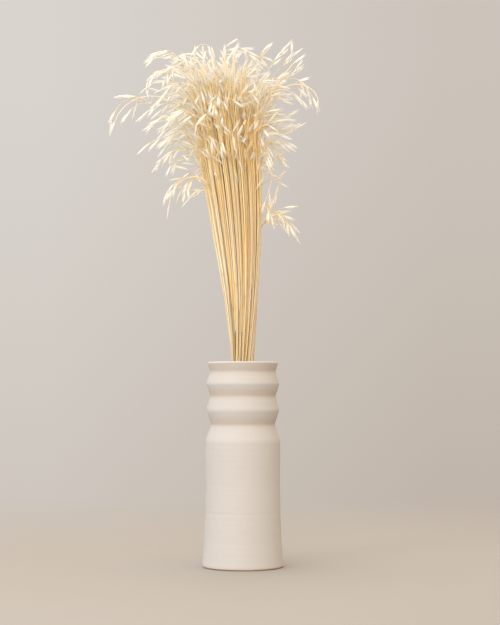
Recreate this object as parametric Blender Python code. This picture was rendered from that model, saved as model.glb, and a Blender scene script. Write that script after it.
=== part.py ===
"""Vase of dried oats: a turned stoneware vase that holds a bunch of oat stems, tied just below its lip.

Metres, +Z up. The origin is the middle of the vase's foot, on the surface that it stands on. The front is -Y.
"""

import cmath
import math
import random
from dataclasses import dataclass

import bmesh
import bpy
import numpy as np

# Room between two pieces that touch
TOUCH = 0.0003

# Vase
VASE_HEIGHT = 0.300
VASE_FLOOR = 0.007
VASE_WALL = 0.005
VASE_SEGMENTS = 32
# The outside from the foot to the highest groove, as (height, radius)
VASE_OUTSIDE = (
    (0.0000, 0.0588),
    (0.0016, 0.0598),
    (0.0140, 0.0586),
    (0.0390, 0.0566),
    (0.0750, 0.0553),
    (0.1210, 0.0543),
    (0.1650, 0.0548),
    (0.1820, 0.0548),
    (0.1862, 0.0543),
    (0.1900, 0.0529),
    (0.2077, 0.0466),
    (0.2271, 0.0529),
    (0.2291, 0.0532),
    (0.2311, 0.0530),
    (0.2495, 0.0480),
    (0.2658, 0.0532),
    (0.2678, 0.0537),
    (0.2698, 0.0532),
    (0.2855, 0.0480),
)
LIP_RADIUS = 0.0520
LIP_EDGE = 0.0012
# The inside follows the outside a wall's thickness in, and bends at these heights
VASE_INSIDE_BENDS = (0.0390, 0.1210, 0.1862, 0.2077, 0.2291, 0.2495, 0.2678, 0.2855)
FLOOR_FILLET = 0.005

# Bunch: every stem stands in one twisted flow, so no two of them cross
STEMS = 56
STEM_FOOT = VASE_FLOOR + TOUCH
TIE_HEIGHT = 0.270
SEAT_PITCH = 0.00203
GOLDEN_ANGLE = math.pi * (3 - math.sqrt(5))
TWIST = 6.5
# How much wider the bunch gets above the tie, and the rise in which it does so
FLARE = 1.5
FLARE_RISE = 0.36
LEAN = 0.160
LEAN_POWER = 1.95
# Where a stem bends below its panicle, as (height, radius)
STEM_BENDS = ((STEM_FOOT, 0.00140), (TIE_HEIGHT, 0.00140), (0.36, 0.00115), (0.45, 0.00100))

# Tie: turns of twine laid side by side
TWINE = 0.0020
TWINE_GROOVE = 0.6
TIE_TURNS = 3
TIE_SEGMENTS = 16

# Panicle: its line starts in the bunch's flow and turns towards its tip, more on the outer stems
PANICLE_START = (0.540, 0.630)
PANICLE_LENGTH = (0.110, 0.170)
PANICLE_TOP = 0.744
PANICLE_RADIUS = (0.0009, 0.0006)
PANICLE_STEPS = 50
INNER_TILT = 6
OUTER_TILT = 66
TILT_SPREAD = 12
HEADING_SPREAD = 0.35
LATENESS = (1.0, 1.8)
PANICLE_ROOM = 0.0018

# Branches stand in whorls at these shares of the panicle's length, and get shorter towards its tip
WHORLS = (0.0, 0.30, 0.56, 0.78)
WHORL_HEIGHT = 0.0026
BRANCHES = (3, 3, 2, 1)
REACHING_BRANCHES = (3, 3, 3, 2)
BRANCH_LENGTHS = ((0.022, 0.044), (0.018, 0.034), (0.013, 0.025), (0.009, 0.016))
REACHING_BRANCH_SCALE = 0.65
BRANCH_RADIUS = 0.00055
BRANCH_ROOM = 0.0009
BRANCH_OPENING = (30, 58)
BRANCH_SWING = 0.4
BRANCH_SAG = 0.25
ROOT_ROOM = 0.005
# How far a branch stands off its stem, and how far its spikelet may fold back, as a sine and a cosine
LEAST_OPENING = 0.35
LEAST_FOLD = 0.40

# Spikelet: two pointed glumes that part towards their tips
SPIKELET_LENGTH = (0.021, 0.028)
SPIKELET_WIDTH = 0.0050
SPIKELET_DEPTH = 0.0026
SPIKELET_BELLY = 0.42
SPIKELET_OPEN = 0.0031
SPIKELET_ROOM = 0.0033
# How much a spikelet hangs: upright ones, what leaning adds, and what the loosest fifth adds
DROOP = 0.22
LEANING_DROOP = 0.25
LOOSE_DROOP = 0.8
LOOSE_SHARE = 0.2
SPIKELET_SWING = 0.24

# The stems that reach out of the bunch: the heading in degrees that each leans to, how far out its seat is,
# where its panicle starts, the panicle's length, the angle of its tip from upright, and how late it bends
REACHING_STEMS = (
    (174, 0.86, 0.585, 0.226, 162, 1.7),
    (179, 0.52, 0.574, 0.215, 101, 4.0),
    (186, 0.94, 0.606, 0.148, 113, 2.6),
    (171, 0.95, 0.581, 0.134, 120, 1.8),
    (186, 0.83, 0.545, 0.123, 150, 1.8),
    (182, 0.96, 0.559, 0.083, 176, 0.6),
    (0, 1.00, 0.486, 0.070, 150, 0.9),
    (357, 0.91, 0.576, 0.201, 166, 2.5),
    (346, 0.75, 0.576, 0.176, 44, 0.9),
    (0, 1.00, 0.559, 0.110, 67, 1.4),
    (180, 0.10, 0.612, 0.138, 14, 1.0),
    (215, 0.40, 0.610, 0.130, 135, 3.5),
    (265, 0.90, 0.580, 0.140, 112, 1.8),
    (95, 0.90, 0.570, 0.140, 115, 1.8),
    (300, 0.90, 0.560, 0.120, 100, 1.2),
    (60, 0.90, 0.550, 0.125, 105, 1.2),
)
SEED = 41
TRIES = 60
DOWN = np.array((0.0, 0.0, -1.0))


@dataclass
class Bend:
    """A place on a stem, the way the stem points there, a side axis square to that, and the stem's radius."""

    place: np.ndarray
    direction: np.ndarray
    side: np.ndarray
    radius: float


@dataclass
class Spikelet:
    """Where a spikelet starts, which way it points, how it is turned about that line, and its length."""

    neck: np.ndarray
    direction: np.ndarray
    roll: float
    length: float

    def end(self):
        """The middle between its two tips."""
        return self.neck + self.direction * self.length


@dataclass
class Stem:
    """The bends below the panicle, the whorls with their spikelets by side, and the spikelet at the tip."""

    bends: list
    whorls: list
    spikelets: list
    tip: Spikelet


class Crowd:
    """The straight runs placed so far, as thick lines, so that a new one can be kept clear of them."""

    def __init__(self):
        self.starts = np.empty((0, 3))
        self.ends = np.empty((0, 3))
        self.radii = np.empty(0)
        self.owners = np.empty(0, int)

    def add(self, owner, points, radius):
        """Adds the runs between points one after another, all of one radius."""
        count = len(points) - 1
        self.starts = np.vstack((self.starts, points[:-1]))
        self.ends = np.vstack((self.ends, points[1:]))
        self.radii = np.append(self.radii, [radius] * count)
        self.owners = np.append(self.owners, [owner] * count)

    def room(self, start, end, chosen=None):
        """The gap between one line and the nearest surface among the chosen runs, or among all of them."""
        chosen = np.full(len(self.owners), True) if chosen is None else chosen
        if not chosen.any():
            return math.inf
        gaps = run_distances(start, end, self.starts[chosen], self.ends[chosen])
        return float((gaps - self.radii[chosen]).min())


def run_distances(start, end, starts, ends):
    """The distance from one straight run to each of the others."""
    run = end - start
    runs = ends - starts
    between = start - starts
    run_square = run @ run
    run_squares = np.einsum("ij,ij->i", runs, runs)
    shared = runs @ run
    ahead = between @ run
    behind = np.einsum("ij,ij->i", runs, between)
    across = np.maximum(run_square * run_squares - shared**2, 1e-18)
    along = np.clip((shared * behind - ahead * run_squares) / across, 0, 1)
    other_along = np.clip((shared * along + behind) / run_squares, 0, 1)
    along = np.clip((shared * other_along - ahead) / run_square, 0, 1)
    return np.linalg.norm(between + np.outer(along, run) - runs * other_along[:, None], axis=1)


def unit(vector):
    """A vector at unit length."""
    return vector / np.linalg.norm(vector)


def squared(vector, direction):
    """The part of a vector that is square to a direction, at unit length."""
    return unit(vector - direction * (vector @ direction))


def around(direction, side, angle):
    """The side axis turned about a direction."""
    return side * math.cos(angle) + np.cross(direction, side) * math.sin(angle)


def any_side(direction):
    """A side axis square to a direction, the same one each time."""
    guide = (0.0, 1.0, 0.0) if abs(direction[1]) < 0.9 else (1.0, 0.0, 0.0)
    return squared(np.array(guide), direction)


def seat(number):
    """Where a stem passes the tie, as a complex number: the seats fill a sunflower's spiral."""
    return cmath.rect(SEAT_PITCH * math.sqrt(number + 0.5), number * GOLDEN_ANGLE)


def spread(height):
    """The factor that turns a seat into a stem's place at a height: it widens the bunch and twists it."""
    rise = height - TIE_HEIGHT
    share = min(max(rise / FLARE_RISE, 0.0), 1.0)
    widening = FLARE * share**2 * (3 - 2 * share)
    turning = rise if rise < 0 else FLARE_RISE * (share - share**3 / 3)
    return complex(1 + widening, TWIST * turning)


def bunch_place(number, height):
    """Where a stem is at a height, below its panicle."""
    place = seat(number) * spread(height)
    lean = LEAN * max(height - TIE_HEIGHT, 0.0) ** LEAN_POWER
    return np.array((place.real - lean, place.imag, height))


def bunch_direction(number, height, step=0.001):
    """The way a stem points at a height, below its panicle."""
    return unit(bunch_place(number, height + step) - bunch_place(number, height - step))


def leaning(heading, tilt):
    """The direction that leans by tilt from upright, towards a heading."""
    return np.array((math.sin(tilt) * math.cos(heading), math.sin(tilt) * math.sin(heading), math.cos(tilt)))


def turned(start, end, share):
    """The direction a share of the way round from one to another."""
    angle = math.acos(max(-1.0, min(1.0, float(start @ end))))
    if angle < 1e-6:
        return start
    return (start * math.sin((1 - share) * angle) + end * math.sin(share * angle)) / math.sin(angle)


def panicle_line(number, heading, height, length, tilt, lateness):
    """Places and directions along a panicle, which turns from the bunch's flow to the angle at its tip."""
    start = bunch_direction(number, height)
    end = leaning(heading, tilt)
    places = [bunch_place(number, height)]
    directions = [start]
    for step in range(PANICLE_STEPS):
        middle = turned(start, end, ((step + 0.5) / PANICLE_STEPS) ** lateness)
        places.append(places[-1] + middle * length / PANICLE_STEPS)
        directions.append(turned(start, end, ((step + 1) / PANICLE_STEPS) ** lateness))
    return places, directions


def draw_panicle_line(number, draw):
    """One try at the line of a panicle that stays in the bunch: the outer ones nod the most."""
    outward = (number + 0.5) / STEMS
    height = draw.uniform(*PANICLE_START)
    length = min(draw.uniform(*PANICLE_LENGTH), PANICLE_TOP - height)
    away = bunch_place(number, height) - bunch_place(0, height)
    heading = math.atan2(away[1], away[0]) + draw.gauss(0, HEADING_SPREAD)
    tilt = INNER_TILT + (OUTER_TILT - INNER_TILT) * outward + draw.gauss(0, TILT_SPREAD)
    return panicle_line(number, heading, height, length, math.radians(tilt), draw.uniform(*LATENESS))


def clear_panicle_line(number, draw, crowd):
    """The first try that is clear of the stems placed before it, or else the clearest."""
    best, most_room = None, -math.inf
    for _ in range(TRIES):
        places, directions = draw_panicle_line(number, draw)
        stops = places[:: PANICLE_STEPS // 5]
        room = min(crowd.room(a, b) for a, b in zip(stops, stops[1:]))
        if room > most_room:
            best, most_room = (places, directions), room
        if most_room > PANICLE_ROOM:
            break
    return best


def reaching_seats():
    """The seat of each stem that reaches out of the bunch, with its line's values: the nearest free one."""
    taken = {}
    outermost = abs(seat(STEMS - 1))
    for heading, outness, height, length, tilt, lateness in REACHING_STEMS:
        heading = math.radians(heading)
        wanted = cmath.rect(outness * outermost, heading - cmath.phase(spread(height)))
        free = [number for number in range(STEMS) if number not in taken]
        nearest = min(free, key=lambda number: abs(seat(number) - wanted))
        taken[nearest] = (heading, height, length, math.radians(tilt), lateness)
    return taken


def bends_along(places, directions, radii, side):
    """Bends with their side axes carried along the line without a twist."""
    bends = []
    for place, direction, radius in zip(places, directions, radii):
        side = squared(side, direction)
        bends.append(Bend(place, direction, side, radius))
    return bends


def lay_stem(number, line, crowd, draw):
    """A stem with no branches yet, and its runs added to the crowd."""
    places, directions = line
    steps = [round(share * PANICLE_STEPS) for share in WHORLS]
    low_directions = [bunch_direction(number, height) for height, _ in STEM_BENDS]
    thick, thin = PANICLE_RADIUS
    bends = bends_along(
        [bunch_place(number, height) for height, _ in STEM_BENDS] + [places[step] for step in steps],
        low_directions + [directions[step] for step in steps],
        [radius for _, radius in STEM_BENDS] + [thick + (thin - thick) * share for share in WHORLS],
        around(low_directions[0], any_side(low_directions[0]), draw.uniform(0, math.pi)),
    )
    nod = DROOP * DOWN + [draw.gauss(0, SPIKELET_SWING), draw.gauss(0, SPIKELET_SWING), 0.0]
    roll = draw.uniform(0, math.pi)
    tip = Spikelet(places[-1], unit(directions[-1] + nod), roll, draw.uniform(*SPIKELET_LENGTH))
    low = len(STEM_BENDS)
    crowd.add(number, [bend.place for bend in bends[: low - 1]], STEM_BENDS[0][1])
    crowd.add(number, [bend.place for bend in bends[low - 2 :]] + [tip.neck], thick)
    crowd.add(number, [tip.neck, tip.end()], SPIKELET_ROOM)
    return Stem(bends[:low], bends[low:], [{} for _ in WHORLS], tip)


def draw_branch(whorl, side_number, length, draw):
    """One try at a branch: where it leaves the stem, and the spikelet that it carries."""
    square = (side_number + 1) * math.pi / 2
    outward = around(whorl.direction, whorl.side, square + draw.uniform(-BRANCH_SWING, BRANCH_SWING))
    opening = math.radians(draw.uniform(*BRANCH_OPENING))
    straight = whorl.direction * math.cos(opening) + outward * math.sin(opening)
    along = unit(straight + DOWN * draw.uniform(0, BRANCH_SAG))
    root = whorl.place + outward * whorl.radius
    droop = DROOP + LEANING_DROOP * (1 - whorl.direction[2])
    droop += LOOSE_DROOP if draw.random() < LOOSE_SHARE else 0.0
    loose = np.array([draw.gauss(0, SPIKELET_SWING) for _ in range(3)])
    direction = unit((along + whorl.direction) / 2 + loose + DOWN * droop)
    neck = root + along * length
    return root, Spikelet(neck, direction, draw.uniform(0, math.pi), draw.uniform(*SPIKELET_LENGTH))


def branch_is_clear(number, stem, rank, root, spikelet, crowd):
    """Whether a branch and its spikelet miss everything placed, from a little way out of its own stem."""
    along = unit(spikelet.neck - root)
    stops = [stem.bends[-1].place] + [whorl.place for whorl in stem.whorls] + [stem.tip.neck]
    for neighbour in (stops[rank], stops[rank + 2]):
        if np.linalg.norm(np.cross(unit(neighbour - stops[rank + 1]), along)) < LEAST_OPENING:
            return False
    if spikelet.direction @ along < LEAST_FOLD:
        return False
    own = crowd.owners == number
    return (
        crowd.room(root, spikelet.neck, ~own) > BRANCH_ROOM + TOUCH
        and crowd.room(root + along * ROOT_ROOM, spikelet.neck, own) > BRANCH_ROOM + TOUCH
        and crowd.room(spikelet.neck, spikelet.end()) > SPIKELET_ROOM + TOUCH
    )


def grow_branches(number, stem, reaching, crowd, draw):
    """Draws each branch of a stem until it is clear, and leaves it out where no try is."""
    scale = REACHING_BRANCH_SCALE if reaching else 1.0
    for rank, count in enumerate(REACHING_BRANCHES if reaching else BRANCHES):
        first_side = draw.randrange(4)
        step = 2 if count == 2 else 1
        for turn in range(count):
            side_number = (first_side + step * turn) % 4
            for _ in range(TRIES):
                length = draw.uniform(*BRANCH_LENGTHS[rank]) * scale
                root, spikelet = draw_branch(stem.whorls[rank], side_number, length, draw)
                if branch_is_clear(number, stem, rank, root, spikelet, crowd):
                    stem.spikelets[rank][side_number] = spikelet
                    crowd.add(number, [root, spikelet.neck], BRANCH_ROOM)
                    crowd.add(number, [spikelet.neck, spikelet.end()], SPIKELET_ROOM)
                    break


def arrange_bunch():
    """Every stem of the bunch, clear of one another: the reaching ones are laid first."""
    crowd = Crowd()
    reaching = reaching_seats()
    draws = {number: random.Random(SEED * 1000 + number) for number in range(STEMS)}
    stems = {}
    for number in sorted(range(STEMS), key=lambda number: number not in reaching):
        if number in reaching:
            line = panicle_line(number, *reaching[number])
        else:
            line = clear_panicle_line(number, draws[number], crowd)
        stems[number] = lay_stem(number, line, crowd, draws[number])
    for number, stem in stems.items():
        grow_branches(number, stem, number in reaching, crowd, draws[number])
    return [stems[number] for number in range(STEMS)]


def ring(place, direction, side, radius):
    """Four corners round a stem, anticlockwise seen from its tip."""
    return [place + around(direction, side, math.pi / 4 + k * math.pi / 2) * radius for k in range(4)]


def grow(bm, face, corners):
    """Extrudes a four-sided face to new corners, with the least twist, and returns it with their vertices."""
    top = bmesh.ops.extrude_discrete_faces(bm, faces=[face])["faces"][0]
    verts = [loop.vert for loop in top.loops]

    def moved(turn):
        return sum(np.linalg.norm(np.array(verts[k].co) - corners[(k + turn) % 4]) for k in range(4))

    turn = min(range(4), key=moved)
    for k, vert in enumerate(verts):
        vert.co = corners[(k + turn) % 4]
    return top, [verts[(k - turn) % 4] for k in range(4)]


def grow_spikelet(bm, face, spikelet):
    """A spikelet on the end of a branch: a flat belly, then two points with a notch between them."""
    wide = around(spikelet.direction, any_side(spikelet.direction), spikelet.roll)
    deep = np.cross(spikelet.direction, wide)
    belly = spikelet.neck + spikelet.direction * spikelet.length * SPIKELET_BELLY
    corners = [
        belly + wide * SPIKELET_WIDTH / 2,
        belly + deep * SPIKELET_DEPTH / 2,
        belly - wide * SPIKELET_WIDTH / 2,
        belly - deep * SPIKELET_DEPTH / 2,
    ]
    face, (right, front, left, back) = grow(bm, face, corners)
    bmesh.ops.delete(bm, geom=[face], context="FACES_ONLY")
    right_tip = bm.verts.new(spikelet.end() + wide * SPIKELET_OPEN)
    left_tip = bm.verts.new(spikelet.end() - wide * SPIKELET_OPEN)
    for loop in ((back, right), (right, front), (front, back)):
        bm.faces.new((*loop, right_tip))
    for loop in ((front, left), (left, back), (back, front)):
        bm.faces.new((*loop, left_tip))


def grow_branch(bm, face, whorl, spikelet):
    """A branch out of one side of a whorl, and its spikelet."""
    along = unit(spikelet.neck - whorl.place)
    corners = ring(spikelet.neck, along, squared(whorl.direction, along), BRANCH_RADIUS)
    face, _ = grow(bm, face, corners)
    grow_spikelet(bm, face, spikelet)


def stem_skin(stem):
    """A stem as one closed skin: it grows from its cut end to its tip, and each branch out of its side."""
    bm = bmesh.new()
    foot = stem.bends[0]
    corners = ring(foot.place, foot.direction, foot.side, foot.radius)
    cut_end = [bm.verts.new((corner[0], corner[1], STEM_FOOT)) for corner in corners]
    face = bm.faces.new(cut_end)
    for bend in stem.bends[1:]:
        face, _ = grow(bm, face, ring(bend.place, bend.direction, bend.side, bend.radius))
    for whorl, spikelets in zip(stem.whorls, stem.spikelets):
        half = whorl.direction * WHORL_HEIGHT / 2
        face, low = grow(bm, face, ring(whorl.place - half, whorl.direction, whorl.side, whorl.radius))
        face, high = grow(bm, face, ring(whorl.place + half, whorl.direction, whorl.side, whorl.radius))
        for side_number, spikelet in spikelets.items():
            after = (side_number + 1) % 4
            side_face = bm.faces.get((low[side_number], low[after], high[after], high[side_number]))
            grow_branch(bm, side_face, whorl, spikelet)
    tip_side = squared(stem.whorls[-1].side, stem.tip.direction)
    face, _ = grow(bm, face, ring(stem.tip.neck, stem.tip.direction, tip_side, PANICLE_RADIUS[1]))
    grow_spikelet(bm, face, stem.tip)
    bm.faces.new(cut_end[::-1])
    return bm


def material(name, colour, roughness):
    """A plain Principled material."""
    made = bpy.data.materials.new(name)
    made.use_nodes = True
    shader = made.node_tree.nodes["Principled BSDF"]
    shader.inputs["Base Color"].default_value = (*colour, 1.0)
    shader.inputs["Roughness"].default_value = roughness
    shader.inputs["Metallic"].default_value = 0.0
    return made


def add_object(name, bm, surface):
    """An object in the scene from a mesh that is being built."""
    mesh = bpy.data.meshes.new(name)
    bm.to_mesh(mesh)
    bm.free()
    mesh.materials.append(surface)
    made = bpy.data.objects.new(name, mesh)
    bpy.context.scene.collection.objects.link(made)
    return made


def turn_profile(name, profile, closed, segments, surface):
    """An object turned from its profile, which runs down its outer side."""
    bm = bmesh.new()
    verts = [bm.verts.new((radius, 0, height)) for height, radius in profile]
    for first, second in zip(verts, verts[1:]):
        bm.edges.new((first, second))
    if closed:
        bm.edges.new((verts[-1], verts[0]))
    made = add_object(name, bm, surface)
    screw = made.modifiers.new("Turned", "SCREW")
    screw.axis = "Z"
    screw.angle = 2 * math.pi
    screw.steps = segments
    screw.render_steps = segments
    screw.use_merge_vertices = True
    screw.merge_threshold = 0.00001
    screw.use_smooth_shade = True
    return made


def outside_radius(height):
    """The vase's outer radius at a height below its highest groove."""
    heights, radii = zip(*VASE_OUTSIDE)
    return float(np.interp(height, heights, radii))


def vase_profile():
    """The vase's section, from the middle of its floor up the inside, over the lip and down the outside."""
    inside = [(height, outside_radius(height) - VASE_WALL) for height in VASE_INSIDE_BENDS]
    floor_radius = inside[0][1] - FLOOR_FILLET
    floor = [(VASE_FLOOR, 0.0), (VASE_FLOOR, floor_radius), (VASE_FLOOR + FLOOR_FILLET, inside[0][1])]
    lip = [
        (VASE_HEIGHT - LIP_EDGE, LIP_RADIUS - VASE_WALL),
        (VASE_HEIGHT, LIP_RADIUS - VASE_WALL + LIP_EDGE),
        (VASE_HEIGHT, LIP_RADIUS - LIP_EDGE),
        (VASE_HEIGHT - LIP_EDGE, LIP_RADIUS),
    ]
    return floor + inside + lip + list(VASE_OUTSIDE)[::-1] + [(0.0, 0.0)]


def tie_profile():
    """The section of the twine's turns, laid side by side round the bunch."""
    stem_radius = STEM_BENDS[1][1]
    inner = (abs(seat(STEMS - 1)) + stem_radius + TOUCH) / math.cos(math.pi / TIE_SEGMENTS)
    top = TIE_HEIGHT + TIE_TURNS * TWINE / 2
    bottom = TIE_HEIGHT - TIE_TURNS * TWINE / 2
    outer = [(top, inner + TWINE * TWINE_GROOVE)]
    for turn in range(TIE_TURNS):
        outer.append((top - TWINE * (turn + 0.5), inner + TWINE))
        outer.append((top - TWINE * (turn + 1), inner + TWINE * TWINE_GROOVE))
    return outer + [(bottom, inner), (top, inner)]


def main():
    for old in list(bpy.data.objects):
        bpy.data.objects.remove(old, do_unlink=True)
    stoneware = material("stoneware", (0.72, 0.65, 0.58), 0.60)
    straw = material("straw", (0.80, 0.62, 0.36), 0.55)
    twine = material("twine", (0.55, 0.42, 0.27), 0.85)
    turn_profile("vase", vase_profile(), False, VASE_SEGMENTS, stoneware)
    turn_profile("tie", tie_profile(), True, TIE_SEGMENTS, twine)
    for number, stem in enumerate(arrange_bunch()):
        add_object(f"oat_stem_{number + 1:02d}", stem_skin(stem), straw)


if __name__ == "__main__":
    main()
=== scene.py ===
# Vase of dried oats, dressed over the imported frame
import cmath
import math
import random

import bpy
import numpy as np
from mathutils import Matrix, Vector


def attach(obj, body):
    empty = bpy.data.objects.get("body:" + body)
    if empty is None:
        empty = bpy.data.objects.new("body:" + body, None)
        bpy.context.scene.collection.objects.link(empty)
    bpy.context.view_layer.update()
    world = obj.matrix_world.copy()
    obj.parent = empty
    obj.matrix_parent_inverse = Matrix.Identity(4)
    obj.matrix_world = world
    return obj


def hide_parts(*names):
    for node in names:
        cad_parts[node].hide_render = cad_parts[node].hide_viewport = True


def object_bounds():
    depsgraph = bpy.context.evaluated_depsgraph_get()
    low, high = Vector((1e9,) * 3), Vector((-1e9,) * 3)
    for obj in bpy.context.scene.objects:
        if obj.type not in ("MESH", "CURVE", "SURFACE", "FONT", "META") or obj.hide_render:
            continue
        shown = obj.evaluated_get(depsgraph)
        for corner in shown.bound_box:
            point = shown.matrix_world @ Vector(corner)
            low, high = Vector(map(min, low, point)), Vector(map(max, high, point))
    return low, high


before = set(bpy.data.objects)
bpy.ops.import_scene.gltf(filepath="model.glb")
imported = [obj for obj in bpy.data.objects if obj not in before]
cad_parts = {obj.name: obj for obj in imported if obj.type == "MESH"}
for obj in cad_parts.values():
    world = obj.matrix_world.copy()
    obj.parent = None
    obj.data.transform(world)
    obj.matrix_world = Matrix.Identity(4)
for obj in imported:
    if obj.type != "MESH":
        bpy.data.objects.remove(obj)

cadBox = [list(corner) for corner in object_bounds()]
down = np.array((0.0, 0.0, -1.0))
print("frame loaded,", len(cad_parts), "nodes")


def operator(operation, flipped=False):
    def apply(wire, other):
        pair = (other, wire) if flipped else (wire, other)
        return wire.shader.maths(operation, *pair)
    return apply


# A Wire is one socket, and an expression on wires adds its Math nodes
class Wire:
    __add__, __radd__ = operator("ADD"), operator("ADD", True)
    __sub__, __rsub__ = operator("SUBTRACT"), operator("SUBTRACT", True)
    __mul__, __rmul__ = operator("MULTIPLY"), operator("MULTIPLY", True)
    __truediv__, __pow__ = operator("DIVIDE"), operator("POWER")

    def __init__(self, shader, socket):
        self.shader = shader
        self.socket = socket


class Shader:
    def __init__(self, tree):
        self.tree = tree
        self.tree.nodes.clear()

    def plug(self, socket, value):
        if isinstance(value, Wire):
            self.tree.links.new(value.socket, socket)
        elif socket.type == "RGBA":
            socket.default_value = (*value[:3], 1.0)
        else:
            socket.default_value = value

    # any node: its settings first, then its sockets, and one of its outputs back
    def node(self, kind, settings=None, sockets=None, output=0):
        made = self.tree.nodes.new(kind)
        for key, value in (settings or {}).items():
            if key != "stops":
                setattr(made, key, value)
                continue
            while len(made.color_ramp.elements) < len(value):
                made.color_ramp.elements.new(1.0)
            for element, (place, colour) in zip(made.color_ramp.elements, value):
                element.position = place
                element.color = (*colour, 1.0)
        for key, value in (sockets or {}).items():
            self.plug(made.inputs[key], value)
        return Wire(self, made.outputs[output]) if made.outputs else None

    def maths(self, operation, first, second=0.0, clamp=False):
        settings = {"operation": operation, "use_clamp": clamp}
        return self.node("ShaderNodeMath", settings, {0: first, 1: second})

    def clamped(self, wire):
        return self.maths("ADD", wire, 0.0, clamp=True)

    def blend(self, share, first, second):
        return self.node("ShaderNodeMix", {"data_type": "RGBA"}, {0: share, 6: first, 7: second}, 2)

    # a second colour that comes in where the wire passes a start, by a slope and up to a share
    def past(self, wire, start, slope, most, first, second):
        return self.blend(self.clamped((wire - start) * slope) * most, first, second)

    def ramp(self, share, stops):
        return self.node("ShaderNodeValToRGB", {"stops": stops}, {0: share})

    def attribute(self, name, output="Fac"):
        return self.node("ShaderNodeAttribute", {"attribute_name": name}, output=output)

    def split(self, vector):
        made = self.node("ShaderNodeSeparateXYZ", None, {0: vector}).socket.node
        return [Wire(self, made.outputs[axis]) for axis in range(3)]

    def joined(self, x, y, z):
        return self.node("ShaderNodeCombineXYZ", None, {0: x, 1: y, 2: z})

    def place(self, kind="Object"):
        return self.node("ShaderNodeTexCoord", output=kind)

    def noise(self, vector, scale=1.0, detail=3.0):
        sockets = {"Vector": vector, "Scale": scale, "Detail": detail, "Roughness": 0.55}
        return self.node("ShaderNodeTexNoise", None, sockets)

    def bump(self, height, distance, strength):
        sockets = {"Height": height, "Distance": distance, "Strength": strength}
        return self.node("ShaderNodeBump", None, sockets)

    def skin(self, colour, roughness, normal, ior=1.5, specular=0.5):
        return self.node("ShaderNodeBsdfPrincipled", None, {
            "Base Color": colour, "Roughness": roughness, "Normal": normal, "IOR": ior,
            "Specular IOR Level": specular,
        })

    # a skin that lets a share of the light through
    def papery(self, skin, glow, colour, normal):
        through = self.node("ShaderNodeBsdfTranslucent", None, {"Color": colour, "Normal": normal})
        self.finish(self.node("ShaderNodeMixShader", None, {0: glow, 1: skin, 2: through}))

    def finish(self, surface, kind="ShaderNodeOutputMaterial"):
        self.node(kind, None, {"Surface": surface})


def newShader(name):
    made = bpy.data.materials.new(name)
    made.use_nodes = True
    return made, Shader(made.node_tree)


# The bunch: the same flow of stems, whorls and spikelets that the frame's solids follow
bunch = {
    "stems": 56,
    "foot": 0.0073,
    "tie": 0.270,
    "pitch": 0.00203,
    "golden": math.pi * (3 - math.sqrt(5)),
    "twist": 6.5,
    "flare": 1.5,
    "flareRise": 0.36,
    "lean": 0.160,
    "leanPower": 1.95,
    "fanRise": 0.26,  # how far above the tie the wider lines start to fan out
    "fanPower": 1.5,
    "bends": ((0.0073, 0.00140), (0.270, 0.00140), (0.36, 0.00115), (0.45, 0.00100)),
    "seed": 41,
    "tries": 60,
}
panicle = {
    "start": (0.540, 0.630),
    "length": (0.110, 0.170),
    "top": 0.744,
    "radius": (0.0009, 0.0006),
    "steps": 50,
    "innerTilt": 6,
    "outerTilt": 66,
    "tiltSpread": 12,
    "headingSpread": 0.35,
    "lateness": (1.0, 1.8),
    "room": 0.0018,
}
branch = {
    "whorls": (0.0, 0.30, 0.56, 0.78),
    "counts": (3, 3, 2, 1),
    "reachingCounts": (3, 3, 3, 2),
    "lengths": ((0.022, 0.044), (0.018, 0.034), (0.013, 0.025), (0.009, 0.016)),
    "reachingScale": 0.65,
    "room": 0.0009,
    "opening": (30, 58),
    "swing": 0.4,
    "sag": 0.25,
    "rootRoom": 0.005,
    "leastOpening": 0.35,
    "leastFold": 0.40,
    "touch": 0.0003,
}
spikelet = {
    "length": (0.021, 0.028),
    "room": 0.0033,
    "droop": 0.22,
    "leaningDroop": 0.25,
    "looseDroop": 0.8,
    "looseShare": 0.2,
    "swing": 0.24,
}
# each stem that reaches out: heading, how far out its seat is, its panicle's start and length, its tip's
# tilt, and how late it bends over
reachingStems = (
    (174, 0.86, 0.585, 0.226, 162, 1.7),
    (179, 0.52, 0.574, 0.215, 101, 4.0),
    (186, 0.94, 0.606, 0.148, 113, 2.6),
    (171, 0.95, 0.581, 0.134, 120, 1.8),
    (186, 0.83, 0.545, 0.123, 150, 1.8),
    (182, 0.96, 0.559, 0.083, 176, 0.6),
    (0, 1.00, 0.486, 0.070, 150, 0.9),
    (357, 0.91, 0.576, 0.201, 166, 2.5),
    (346, 0.75, 0.576, 0.176, 44, 0.9),
    (0, 1.00, 0.559, 0.110, 67, 1.4),
    (180, 0.10, 0.612, 0.138, 14, 1.0),
    (215, 0.40, 0.610, 0.130, 135, 3.5),
    (265, 0.90, 0.580, 0.140, 112, 1.8),
    (95, 0.90, 0.570, 0.140, 115, 1.8),
    (300, 0.90, 0.560, 0.120, 100, 1.2),
    (60, 0.90, 0.550, 0.125, 105, 1.2),
)


class Spike:
    # a spikelet: where it starts, its way, its turn about that way, its length and the twig's root
    def __init__(self, neck, direction, roll, length, root=None, start=None):
        self.neck = neck
        self.direction = direction
        self.roll = roll
        self.length = length
        self.root = root
        self.start = start

    def end(self):
        return self.neck + self.direction * self.length


class Plant:
    # a stem or its tiller, by the places and directions of its panicle's axis
    def __init__(self, number, line, sides=(), tip=None):
        self.number = number
        self.places, self.directions = line
        self.sides = sides  # the side axis at each whorl
        self.tip = tip
        self.spikes = []
        self.lines = []
        self.awns = []


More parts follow.
